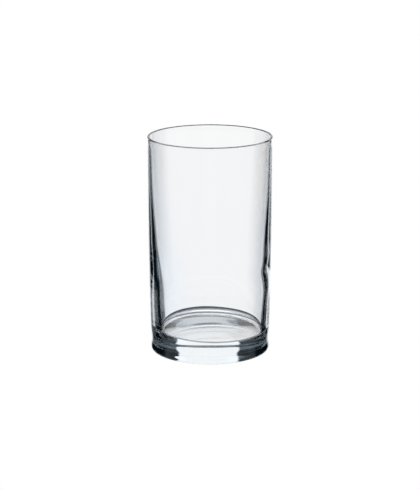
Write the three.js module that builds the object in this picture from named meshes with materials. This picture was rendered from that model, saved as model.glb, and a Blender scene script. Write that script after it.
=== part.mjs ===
// A lemonade glass: a straight, slightly tapered tumbler in clear glass, with a heavy base and a rounded rim.
// It is moulded in one. Its three zones, the solid base, the hollow side wall and the fire-polished rim,
// are separate solids that meet face to face on level planes. Millimetres, +Z up, standing on Z = 0.
import * as THREE from "three";

const { lerp, mapLinear, smoothstep } = THREE.MathUtils;

// Overall size
const height = 109;
const rimDiameter = 62; // outside, at the widest part of the lip

// Outside of the wall and the base: each step in or out is measured on the radius
const lipFlare = 0.25; // the lip stands out from the wall
const wallTaper = 0.8; // the wall draws in from the lip to the shoulder
const shoulderHeight = 12.7;
const waistDepth = 0.57; // drawn in between the shoulder and the foot
const waistHeight = 5.2;
const footFlare = 0.41; // the foot spreads again below the waist
const heelRadius = 1.2; // rounds the foot down to the table

// Underside
const bearingWidth = 2.9; // flat ring that the glass stands on
const recessDepth = 0.41; // hollow inside that ring, at its middle

// Inside
const floorHeight = 11.45; // solid glass under the drink
const cornerRadius = 1.2; // between the floor and the wall
const wallThicknessAtBase = 4.2;
const wallThicknessAtLip = 1.1;

// Settled glass: the wall is thicker low down, where the hot glass sank in the mould
const settleDepth = 0.7; // its share of the thickness at the base
const settleLow = 37; // all of it below this level
const settleHigh = 85; // none above this level

// Lip
const lipThickness = 1.3;
const lipHeight = 4; // from the plain wall to the top

// Fineness of the facets
const sides = 64;
const arcSteps = 5;
const curveSteps = 5;
const wallSteps = 12;

// Levels of the two planes where the zones meet
const baseTop = floorHeight + cornerRadius;
const wallTop = height - lipHeight;

// Outside radii, worked out from the rim down to the foot
const wallRadius = rimDiameter / 2 - lipFlare;
const shoulderRadius = wallRadius - wallTaper;
const waistRadius = shoulderRadius - waistDepth;
const footRadius = waistRadius + footFlare;

// Even steps from one value to another, both ends included
function steps(from, to, count) {
  return Array.from({ length: count + 1 }, (_, i) => lerp(from, to, i / count));
}

// A quarter or half circle of outline points about a centre, between two angles
function arc(radius, z, size, from, to, count) {
  const onCircle = (angle) => new THREE.Vector2(radius + size * Math.cos(angle), z + size * Math.sin(angle));
  return steps(from, to, count).map(onCircle);
}

// Outside radius: upright at the top, drawn in ever faster to the shoulder, eased in to the waist and out to the foot
function outerRadius(z) {
  if (z >= shoulderHeight) {
    const fall = mapLinear(z, wallTop, shoulderHeight, 0, 1);
    return wallRadius - wallTaper * fall ** 3;
  }
  if (z >= waistHeight) {
    return lerp(waistRadius, shoulderRadius, smoothstep(z, waistHeight, shoulderHeight));
  }
  return lerp(footRadius, waistRadius, smoothstep(z, heelRadius, waistHeight));
}

// Inside radius: the wall thins evenly from the base to the lip, and the settled glass fades out on the way
function innerRadius(z) {
  const even = mapLinear(z, floorHeight, wallTop, wallThicknessAtBase - settleDepth, wallThicknessAtLip);
  const settled = settleDepth * (1 - smoothstep(z, settleLow, settleHigh));
  return outerRadius(z) - even - settled;
}

// Outline points at a set of levels, on the outside or the inside of the wall
function along(levels, radiusAt) {
  return levels.map((z) => new THREE.Vector2(radiusAt(z), z));
}

// Solid base: recessed underside, bearing ring, rounded heel, waist, and the flat floor with its corner
function baseOutline() {
  const heelCentre = footRadius - heelRadius;
  const recessRadius = heelCentre - bearingWidth;
  const cornerCentre = innerRadius(baseTop) - cornerRadius;
  const underside = (r) => new THREE.Vector2(r, recessDepth * (1 - (r / recessRadius) ** 2));
  return [
    ...steps(0, recessRadius, curveSteps).map(underside),
    ...arc(heelCentre, heelRadius, heelRadius, -Math.PI / 2, 0, arcSteps),
    ...along(steps(heelRadius, waistHeight, curveSteps).slice(1), outerRadius),
    ...along(steps(waistHeight, baseTop, curveSteps).slice(1), outerRadius),
    ...arc(cornerCentre, baseTop, cornerRadius, 0, -Math.PI / 2, arcSteps),
    new THREE.Vector2(0, floorHeight),
  ];
}

// Hollow side wall: a tapered tube, thicker below where the glass settled
function wallOutline() {
  const levels = steps(baseTop, wallTop, wallSteps);
  const outside = along(levels, outerRadius);
  const inside = along(levels.reverse(), innerRadius);
  return [...outside, ...inside, outside[0]];
}

// Rim: the wall eases out to a lip that is rounded over the top
function rimOutline() {
  const lipCentre = (rimDiameter - lipThickness) / 2;
  const lipLevel = height - lipThickness / 2;
  const eased = (from, to) => (z) => lerp(from, to, smoothstep(z, wallTop, lipLevel));
  const levels = steps(wallTop, lipLevel, curveSteps);
  const outside = along(levels, eased(outerRadius(wallTop), rimDiameter / 2));
  const over = arc(lipCentre, lipLevel, lipThickness / 2, 0, Math.PI, 2 * arcSteps).slice(1, -1);
  const inside = along(levels.reverse(), eased(innerRadius(wallTop), rimDiameter / 2 - lipThickness));
  return [...outside, ...over, ...inside, outside[0]];
}

function clearGlass() {
  return new THREE.MeshStandardMaterial({
    color: 0xeaf1f4,
    roughness: 0.04,
    metalness: 0,
    transparent: true,
    opacity: 0.35,
  });
}

// The lathe turns an outline about Y, so the zone is stood up along Z
function turned(name, outline) {
  const geometry = new THREE.LatheGeometry(outline, sides).rotateX(Math.PI / 2);
  const zone = new THREE.Mesh(geometry, clearGlass());
  zone.name = name;
  return zone;
}

const lemonadeGlass = new THREE.Group();
lemonadeGlass.add(turned("base", baseOutline()));
lemonadeGlass.add(turned("side_wall", wallOutline()));
lemonadeGlass.add(turned("rim", rimOutline()));

export default lemonadeGlass;
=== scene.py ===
# A lemonade glass in clear glass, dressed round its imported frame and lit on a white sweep. Metres, +Z up.
import math
import bpy
import numpy as np
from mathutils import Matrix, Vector


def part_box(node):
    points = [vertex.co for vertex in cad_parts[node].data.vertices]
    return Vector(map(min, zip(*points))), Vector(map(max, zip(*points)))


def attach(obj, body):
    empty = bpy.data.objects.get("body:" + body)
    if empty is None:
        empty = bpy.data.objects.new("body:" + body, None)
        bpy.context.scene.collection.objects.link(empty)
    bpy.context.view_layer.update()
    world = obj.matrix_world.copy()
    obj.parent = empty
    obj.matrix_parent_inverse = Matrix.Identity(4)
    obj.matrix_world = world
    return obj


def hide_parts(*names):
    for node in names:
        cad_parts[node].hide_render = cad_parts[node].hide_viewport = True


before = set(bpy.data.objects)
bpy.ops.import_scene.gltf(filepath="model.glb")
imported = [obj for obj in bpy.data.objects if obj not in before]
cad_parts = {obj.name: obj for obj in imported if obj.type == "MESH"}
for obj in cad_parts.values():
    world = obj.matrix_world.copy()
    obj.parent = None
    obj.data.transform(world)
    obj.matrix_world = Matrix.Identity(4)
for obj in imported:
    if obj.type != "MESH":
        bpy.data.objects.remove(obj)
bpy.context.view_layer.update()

mm = 0.001
print("frame:", ", ".join(sorted(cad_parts)))


class Wire:
    # a socket that takes part in Python sums: each operator adds its Math node

    def __init__(self, tree, socket=None):
        self.tree = tree
        self.socket = socket

    # any node: its type, its settings, then the values or links of its sockets
    def node(self, kind, settings=None, sockets=None, out=0):
        made = self.tree.nodes.new(kind)
        for name, value in (settings or {}).items():
            if name == "stops":
                ends = made.color_ramp.elements
                for place, colour in value[1:-1]:
                    ends.new(place).color = colour
                ends[0].position, ends[0].color = value[0]
                ends[-1].position, ends[-1].color = value[-1]
            else:
                setattr(made, name, value)
        for name, value in (sockets or {}).items():
            if isinstance(value, Wire):
                self.tree.links.new(value.socket, made.inputs[name])
            else:
                made.inputs[name].default_value = value
        return Wire(self.tree, made.outputs[out]) if made.outputs else made

    def sum(self, operation, *values):
        return self.node("ShaderNodeMath", {"operation": operation}, dict(enumerate(values)))

    def __add__(self, other):
        return self.sum("ADD", self, other)

    def __sub__(self, other):
        return self.sum("SUBTRACT", self, other)

    def __rsub__(self, other):
        return self.sum("SUBTRACT", other, self)

    def __mul__(self, other):
        return self.sum("MULTIPLY", self, other)

    def __abs__(self):
        return self.sum("ABSOLUTE", self)

    __radd__ = __add__
    __rmul__ = __mul__

    # 0 below the first value, 1 above the second, eased between them
    def rise(self, start, end):
        ends = {"Value": self, "From Min": start, "From Max": end, "To Min": 0, "To Max": 1}
        return self.node("ShaderNodeMapRange", {"interpolation_type": "SMOOTHSTEP"}, ends)


# Glass: sizes in millimetres, with its height, rim and lip taken from the frame
glass = {
    # outside, each step in or out measured on the radius
    "lipFlare": 0.25,
    "wallTaper": 0.8,
    "shoulderHeight": 12.7,
    "waistDepth": 0.57,
    "waistHeight": 5.2,
    "footFlare": 0.41,
    "heelRadius": 1.2,
    # underside
    "bearingWidth": 2.9,
    "recessDepth": 0.41,
    "recessPower": 2,  # 2 is a shallow bowl, more is flatter with a steeper edge
    # inside
    "floorHeight": 11.45,
    "dishRadius": 5000,  # of the floor, which is all but flat
    "cornerRadius": 1.2,
    "wallAtBase": 3.5,
    "wallAtLip": 1.1,
    "lipThickness": 1.3,
    "lipRounding": 0.62,  # of each corner of the lip
    # how the moulding left the inside: the floor climbs to the back and falls to the right
    "floorClimb": 0.044,
    "floorFall": 0.025,
    "tiltFades": (14, 45),
    # settling of the hot glass: the lower wall is thicker all round, and a slight bulge on the right marks the line
    "settleDepth": 0.7,
    "settleFades": (37, 85),
    "bulgeHeight": 40,
    "bulgeDepth": 0.4,
    "bulgeSpread": (8, 6.2),  # below and above its height
    # the cavity leans to the right on its way down, so the lower wall is heavy on the left,
    # and leans back a little towards the floor
    "leanRight": 0.63,
    "leanFades": (29, 57),
    "leanBack": 0.07,
    "leanBackFades": (14, 34),
    # facets: round the glass, and rows along each stretch of the outline
    "sides": 192,
    "recessRows": 50,
    "heelRows": 14,
    "lowWallRows": 60,
    "lowWallOver": 2,  # these closer rows reach over the shoulder
    "wallRows": 60,
    "lipRows": 12,
    "lipCornerRows": 9,
    "innerWallRows": 110,
    "cornerRows": 18,
    "floorRows": 44,
    "cornerRounds": 4,  # the corner's level and its centre depend on each other, so they settle in rounds
}


def ease(value, start, end):
    # smooth step: 0 before start, 1 after end, 3t² - 2t³ between
    t = np.clip((value - start) / (end - start), 0, 1)
    return t * t * (3 - 2 * t)


def outerRadius(z, size):
    # wall radius less taper times the cube of the fall below the lip; eased waist and foot under the shoulder
    fall = np.clip((size["wallTop"] - z) / (size["wallTop"] - size["shoulderHeight"]), 0, 1)
    wall = size["wallRadius"] - size["wallTaper"] * fall**3
    shoulder = size["wallRadius"] - size["wallTaper"]
    drawnIn = size["waistDepth"] * (1 - ease(z, size["waistHeight"], size["shoulderHeight"]))
    spread = size["footFlare"] * (1 - ease(z, size["heelRadius"], size["waistHeight"]))
    return np.where(z >= size["shoulderHeight"], wall, shoulder - drawnIn + spread)


def innerRadius(z, turn, size):
    # outer radius less an even taper of the wall, less the settled glass, less a bell-shaped bulge on the right,
    # which fades round the glass as the square of half of one plus the cosine
    share = np.clip((z - size["floorHeight"]) / (size["wallTop"] - size["floorHeight"]), 0, 1)
    even = size["wallAtBase"] + (size["wallAtLip"] - size["wallAtBase"]) * share
    settled = size["settleDepth"] * (1 - ease(z, *size["settleFades"]))
    above = z - size["bulgeHeight"]
    spread = np.where(above < 0, size["bulgeSpread"][0], size["bulgeSpread"][1])
    bulge = size["bulgeDepth"] * np.exp(-((above / spread) ** 2))
    towardsRight = (0.5 + 0.5 * np.cos(turn)) ** 2
    return outerRadius(z, size) - even - settled - bulge * towardsRight


def alongOutline(radius, z, turn):
    # one stretch of the outline, the same all round, as a pair of grids
    shape = len(radius), len(turn)
    return np.broadcast_to(radius[:, None], shape), np.broadcast_to(z[:, None], shape)


def outsideGrids(turn, size):
    # recess: depth times one less a power of the radius; flat ring; quarter-circle heel; then the outer wall
    heelCentre = size["footRadius"] - size["heelRadius"]
    recessRadius = heelCentre - size["bearingWidth"]
    r = recessRadius * np.sqrt(np.linspace(0, 1, size["recessRows"])[1:])
    recess = alongOutline(r, size["recessDepth"] * (1 - (r / recessRadius) ** size["recessPower"]), turn)
    bend = np.linspace(-math.pi / 2, 0, size["heelRows"])
    heelR = heelCentre + size["heelRadius"] * np.cos(bend)
    heel = alongOutline(heelR, size["heelRadius"] * (1 + np.sin(bend)), turn)
    lowTop = size["shoulderHeight"] + size["lowWallOver"]
    low = np.linspace(size["heelRadius"], lowTop, size["lowWallRows"])[1:]
    z = np.concatenate([low, np.linspace(lowTop, size["wallTop"], size["wallRows"])[1:]])
    return [recess, heel, alongOutline(outerRadius(z, size), z, turn)]


def lipGrids(turn, size):
    # the wall eases out to the lip, a quarter circle turns over each corner of its flat top,
    # and the inside eases back
    rounding = size["lipRounding"]
    level = size["height"] - rounding
    z = np.linspace(size["wallTop"], level, size["lipRows"])[1:]
    out = ease(z, size["wallTop"], level)
    outside = size["wallRadius"] + (size["rimRadius"] - size["wallRadius"]) * out
    bend = np.linspace(0, math.pi / 2, size["lipCornerRows"])[1:]
    outerCorner = size["rimRadius"] - rounding * (1 - np.cos(bend)), level + rounding * np.sin(bend)
    innerLip = size["rimRadius"] - size["lipThickness"]
    innerCorner = innerLip + rounding * (1 - np.cos(bend[:-1])), level + rounding * np.sin(bend[:-1])
    over = [alongOutline(*outerCorner, turn), alongOutline(innerCorner[0][::-1], innerCorner[1][::-1], turn)]
    start = innerRadius(size["wallTop"], turn, size)
    inside = start + (innerLip - start) * out[::-1, None]
    return [alongOutline(outside, z, turn), *over, (inside, np.broadcast_to(z[::-1, None], inside.shape))]


def cavityGrids(turn, size):
    # inner wall down to the corner, a quarter-circle corner, then the floor,
    # which rises as the radius squared over twice the dish radius
    corner = size["cornerRadius"]
    cornerLevel = np.full_like(turn, size["floorHeight"] + corner)
    for _ in range(size["cornerRounds"]):
        cornerCentre = innerRadius(cornerLevel, turn, size) - corner
        slope = np.arctan(cornerCentre / size["dishRadius"])
        floorEdge = cornerCentre + corner * np.sin(slope)
        cornerLevel = size["floorHeight"] + floorEdge**2 / (2 * size["dishRadius"]) + corner * np.cos(slope)
    z = size["wallTop"] + (cornerLevel - size["wallTop"]) * np.linspace(0, 1, size["innerWallRows"])[:, None]
    wall = innerRadius(z, turn, size), z
    bend = -(math.pi / 2 - slope) * np.linspace(0, 1, size["cornerRows"])[1:, None]
    bow = cornerCentre + corner * np.cos(bend), cornerLevel + corner * np.sin(bend)
    r = floorEdge * np.linspace(1, 0, size["floorRows"])[1:-1, None]
    floor = r, size["floorHeight"] + r**2 / (2 * size["dishRadius"])
    return [wall, bow, floor]


def turnedGlass(size):
    # rows of the outline carried round the axis; the rows inside are then tilted and leaned
    # as the moulding left them
    turn = np.linspace(0, 2 * math.pi, size["sides"], endpoint=False)
    outside = outsideGrids(turn, size) + lipGrids(turn, size)
    cavity = cavityGrids(turn, size)
    outR, outZ = (np.concatenate(part) for part in zip(*outside))
    inR, inZ = (np.concatenate(part) for part in zip(*cavity))
    outX, outY = outR * np.cos(turn), outR * np.sin(turn)
    inX, inY = inR * np.cos(turn), inR * np.sin(turn)
    tilt = (size["floorClimb"] * inY - size["floorFall"] * inX) * (1 - ease(inZ, *size["tiltFades"]))
    lean = size["leanRight"] * (1 - ease(inZ, *size["leanFades"]))
    lean = lean - size["leanBack"] * (1 - ease(inZ, *size["leanBackFades"]))
    rows = np.concatenate([np.stack([outX, outY, outZ], -1), np.stack([inX + lean, inY, inZ + tilt], -1)])
    poles = np.array([[0, 0, size["recessDepth"]], [size["leanRight"] - size["leanBack"], 0, size["floorHeight"]]])
    return np.concatenate([rows.reshape(-1, 3), poles]) * mm, len(rows)


def closedMesh(name, points, rowCount, sides):
    # quads between neighbouring rows, and a fan of triangles to the pole at each end
    row, column = np.meshgrid(np.arange(rowCount - 1), np.arange(sides), indexing="ij")
    nextColumn = (column + 1) % sides
    here, beside = row * sides + column, row * sides + nextColumn
    quads = np.stack([here, beside, beside + sides, here + sides], -1).reshape(-1, 4)
    column = np.arange(sides)
    nextColumn = (column + 1) % sides
    firstPole = np.full(sides, rowCount * sides)
    lastRow = (rowCount - 1) * sides
    under = np.stack([firstPole, nextColumn, column], -1)
    floor = np.stack([firstPole + 1, lastRow + column, lastRow + nextColumn], -1)
    mesh = bpy.data.meshes.new(name)
    mesh.from_pydata(points.tolist(), [], quads.tolist() + under.tolist() + floor.tolist())
    mesh.polygons.foreach_set("use_smooth", np.ones(len(mesh.polygons), bool))
    mesh.update()
    return mesh


def clearGlass(finish):
    material = bpy.data.materials.new("clearGlass")
    material.use_nodes = True
    tree = material.node_tree
    tree.nodes.clear()
    start = Wire(tree)
    place = start.node("ShaderNodeTexCoord", out="Object")
    hazeNoise = {"Vector": place, "Scale": finish["hazeScale"], "Detail": finish["hazeDetail"]}
    haze = start.node("ShaderNodeTexNoise", {}, hazeNoise)
    rippleNoise = {"Vector": place, "Scale": finish["rippleScale"], "Detail": finish["rippleDetail"]}
    ripple = start.node("ShaderNodeTexNoise", {}, rippleNoise)
    wave = {"Strength": finish["rippleStrength"], "Distance": finish["rippleHeight"], "Height": ripple}
    bump = start.node("ShaderNodeBump", {}, wave)
    surface = start.node(
        "ShaderNodeBsdfPrincipled",
        {},
        {
            "Base Color": (1, 1, 1, 1),
            "Transmission Weight": 1,
            "IOR": finish["ior"],
            "Roughness": haze.rise(*finish["hazeFrom"]) * finish["haze"],
            "Normal": bump,
        },
    )
    depth = start.node("ShaderNodeVolumeAbsorption", {}, {"Color": finish["tint"], "Density": finish["density"]})
    start.node("ShaderNodeOutputMaterial", {}, {"Surface": surface, "Volume": depth})
    return material


glassFinish = {
    "ior": 1.52,
    "tint": (0.75, 0.915, 1, 1),  # what the thick base lets through
    "density": 3,
    "haze": 0.012,  # roughness at the haziest spots
    "hazeScale": 60,
    "hazeDetail": 3,
    "hazeFrom": (0.35, 0.85),  # clear below, haziest above
    "rippleScale": 45,  # faint waves of the mould in the surface
    "rippleDetail": 1,
    "rippleStrength": 0.05,
    "rippleHeight": 0.0004,
}

rimLow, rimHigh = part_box("rim")
size = dict(glass, height=rimHigh.z / mm, rimRadius=rimHigh.x / mm, wallTop=rimLow.z / mm)
size["wallRadius"] = size["rimRadius"] - size["lipFlare"]
size["footRadius"] = size["wallRadius"] - size["wallTaper"] - size["waistDepth"] + size["footFlare"]
points, rowCount = turnedGlass(size)
glassMesh = closedMesh("glass", points, rowCount, size["sides"])
glassMesh.materials.append(clearGlass(glassFinish))
glassPiece = bpy.data.objects.new("glass", glassMesh)
bpy.context.scene.collection.objects.link(glassPiece)
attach(glassPiece, "root")
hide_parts("base", "side_wall", "rim")
print("glass:", rowCount, "rows of", size["sides"])


# Studio: angles in degrees, turned from +Y towards +X, and raised from the level
studio = {
    "panels": [
        # main panel behind the glass
        {"turn": 2, "half": 22.8, "edge": 1.5, "low": -24.5, "high": 40, "fade": 3, "level": 1},
        # dim table all round
        {"turn": 0, "half": 185, "edge": 1, "low": -95, "high": -29, "fade": 3, "level": 0.05},
        # ceiling
        {"turn": 0, "half": 185, "edge": 1, "low": 55, "high": 95, "fade": 6, "level": 0.6},
        # bright table in front, which draws the bright line at the back of the floor
        {"turn": 180, "half": 55, "edge": 10, "low": -70, "high": -33, "fade": 3, "level": 1},
        # faint band just over the level, which draws the cool band across the base
        {"turn": 0, "half": 80, "edge": 8, "low": 5, "high": 11, "fade": 2, "level": 0.12},
        # soft skirt under the edges of the main panel
        {"turn": 0, "half": 25, "edge": 6, "low": -22, "high": -15, "fade": 3, "level": 0.3},
        # pale table at the front and the sides
        {"turn": 180, "half": 140, "edge": 4, "low": -95, "high": -25.5, "fade": 2, "level": 0.6},
        # pale room at the front
        {"turn": 180, "half": 96, "edge": 8, "low": -40, "high": 4, "fade": 4, "level": 0.5},
    ],
    # low down, the main panel dims towards its sides and turns cool
    "cools": 0.14,
    "coolsFrom": (4, 14),  # degrees off its middle
    "sideGain": 0.2,  # and its strength makes up for that
    "sideFrom": (5, 18),
    "sideLow": (-8, -5),  # below these angles
    "dark": 0.004,  # everywhere else
    "gain": 0.975,
    # colour of the surroundings at each level: cool in the half dark
    "tints": [
        (0, (0, 0, 0, 1)),
        (0.02, (0.011, 0.02, 0.027, 1)),
        (0.15, (0.105, 0.15, 0.185, 1)),
        (0.4, (0.36, 0.4, 0.44, 1)),
        (0.9, (0.9, 0.935, 0.98, 1)),
        (1, (1, 1, 1, 1)),
    ],
}


def studioWorld(light):
    world = bpy.data.worlds.new("studio")
    bpy.context.scene.world = world
    world.use_nodes = True
    tree = world.node_tree
    tree.nodes.clear()
    start = Wire(tree)
    way = start.node("ShaderNodeTexCoord", out="Generated")
    x, y, z = (start.node("ShaderNodeSeparateXYZ", {}, {"Vector": way}, axis) for axis in "XYZ")
    turn = start.sum("ARCTAN2", x, y) * math.degrees(1)
    raised = start.sum("ARCSINE", z) * math.degrees(1)
    lowDown = 1 - raised.rise(*light["sideLow"])
    main = light["panels"][0]
    level = light["dark"]
    for panel in light["panels"]:
        off = abs(turn - panel["turn"])
        off = start.sum("MINIMUM", off, 360 - off)
        across = 1 - off.rise(panel["half"] - panel["edge"], panel["half"] + panel["edge"])
        above = raised.rise(panel["low"] - panel["fade"], panel["low"] + panel["fade"])
        below = 1 - raised.rise(panel["high"] - panel["fade"], panel["high"] + panel["fade"])
        lit = across * above * below * panel["level"]
        if panel is main:
            lit = lit * (1 - light["cools"] * off.rise(*light["coolsFrom"]) * lowDown)
        level = start.sum("MAXIMUM", level, lit)
    colour = start.node("ShaderNodeValToRGB", {"stops": light["tints"]}, {"Fac": level})
    side = abs(turn - main["turn"]).rise(*light["sideFrom"]) * lowDown
    gain = (1 + side * light["sideGain"]) * light["gain"]
    around = start.node("ShaderNodeBackground", {}, {"Color": colour, "Strength": gain})
    sweep = start.node("ShaderNodeBackground", {}, {"Color": (1, 1, 1, 1), "Strength": 1})
    seen = start.node("ShaderNodeLightPath", out="Is Camera Ray")
    both = start.node("ShaderNodeMixShader", {}, {0: seen, 1: around, 2: sweep})
    start.node("ShaderNodeOutputWorld", {}, {"Surface": both})


def paleFloor(reach, drop):
    mesh = bpy.data.meshes.new("floor")
    corners = np.array([[-1, -1, 0], [1, -1, 0], [1, 1, 0], [-1, 1, 0]]) * reach - [0, 0, drop]
    mesh.from_pydata(corners.tolist(), [], [(0, 1, 2, 3)])
    material = bpy.data.materials.new("paleFloor")
    material.use_nodes = True
    material.node_tree.nodes.clear()
    start = Wire(material.node_tree)
    glow = start.node("ShaderNodeEmission", {}, {"Color": (1, 1, 1, 1), "Strength": 1})
    start.node("ShaderNodeOutputMaterial", {}, {"Surface": glow})
    mesh.materials.append(material)
    floor = bpy.data.objects.new("floor", mesh)
    floor.visible_transmission = False  # through the glass and in its gloss, the studio shows instead
    floor.visible_glossy = False
    floor.visible_diffuse = False
    bpy.context.scene.collection.objects.link(floor)


studioWorld(studio)
paleFloor(reach=6, drop=0.1 * mm)
print("studio:", len(studio["panels"]), "panels")


# Camera: fitted to the rim and the foot, for a picture 490 pixels high
camera = {
    "eye": (0, -0.8386, 0.2706),
    "aim": (0, 0, 0.0533),
    "focalPixels": 1729.6,
    "pictureHeight": 490,
    "sensor": 36,
}

lens = bpy.data.cameras.new("camera")
lens.sensor_width = camera["sensor"]
lens.lens = camera["focalPixels"] * camera["sensor"] / camera["pictureHeight"]
viewer = bpy.data.objects.new("camera", lens)
viewer.location = camera["eye"]
viewer.rotation_euler = (Vector(camera["aim"]) - Vector(camera["eye"])).to_track_quat("-Z", "Y").to_euler()
bpy.context.scene.collection.objects.link(viewer)
bpy.context.scene.camera = viewer

look = bpy.context.scene
look.view_settings.view_transform = "Standard"
look.cycles.max_bounces = 32
look.cycles.transmission_bounces = 32
look.cycles.glossy_bounces = 16
look.cycles.blur_glossy = 0
look.cycles.use_denoising = True
